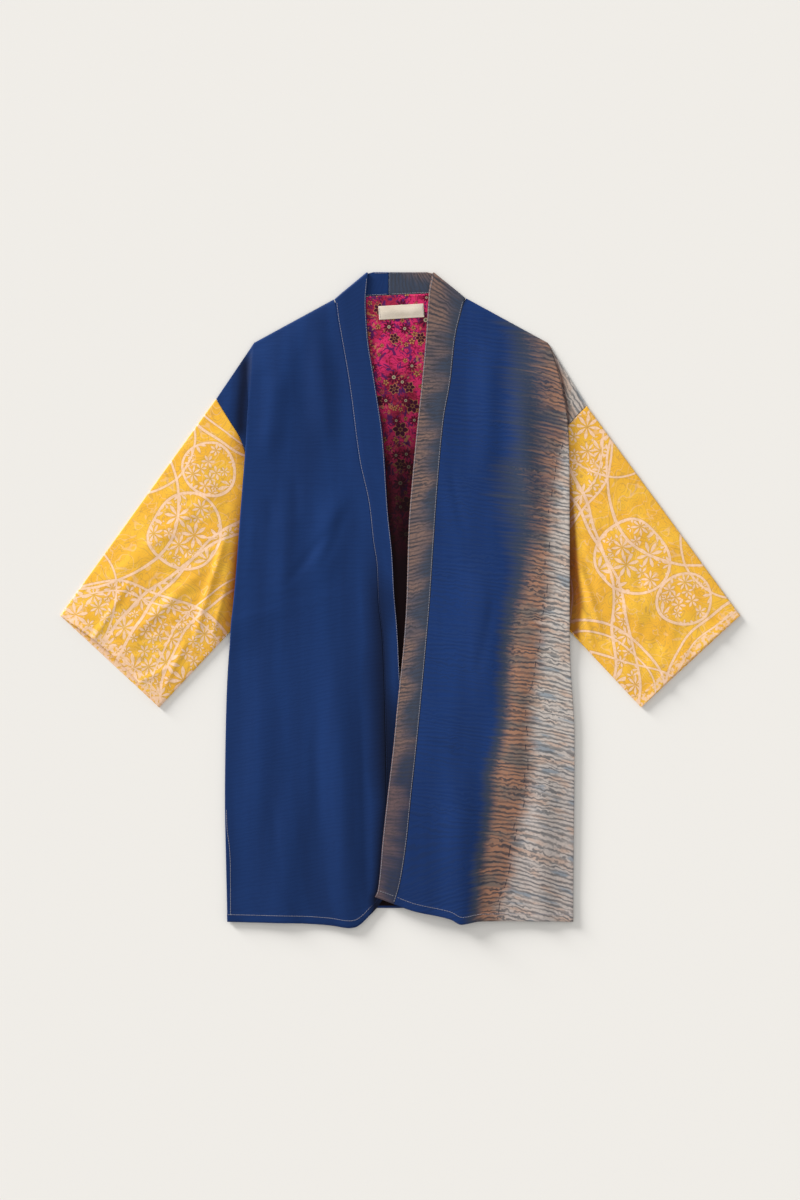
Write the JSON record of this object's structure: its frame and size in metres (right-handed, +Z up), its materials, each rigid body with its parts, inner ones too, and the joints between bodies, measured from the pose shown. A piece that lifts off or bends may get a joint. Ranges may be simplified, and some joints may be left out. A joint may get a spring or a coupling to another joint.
{
  "type": "short kimono robe",
  "caption": "Short kimono-style jacket laid flat, with loose open fronts, a neck band round the neck and down both edges, dropped shoulders and wide straight sleeves.",
  "frame": {"origin": "on the ground under the middle of the jacket as it lies flat on its back", "axes": "+Z up out of the ground, through the layers of cloth; +X across, towards the sleeve on the right as seen from above; +Y from the hem towards the neck"},
  "size_m": [0.9176, 0.8846, 0.015],
  "materials": {
    "blue_silk": "deep blue silk with a fine cross rib and a soft sheen",
    "shaded_silk": "silk shaded from blue through brown orange to pale grey, with wavy cross stripes",
    "sleeve_silk": "matt yellow silk printed with pale pink curves and small flowers",
    "lining_silk": "crimson silk printed with small flowers, curls and dark patches",
    "label_tape": "plain cream woven tape",
    "thread": "pale pinkish topstitching thread"
  },
  "bodies": {
    "root": {"back_panel": "blue_silk", "back_lining": "lining_silk", "label": "label_tape", "front_left": "blue_silk", "front_right": "shaded_silk", "neck_band_left": "blue_silk", "neck_band_right": "shaded_silk", "sleeve_left": "sleeve_silk", "sleeve_right": "sleeve_silk"}
  },
  "joints": []
}
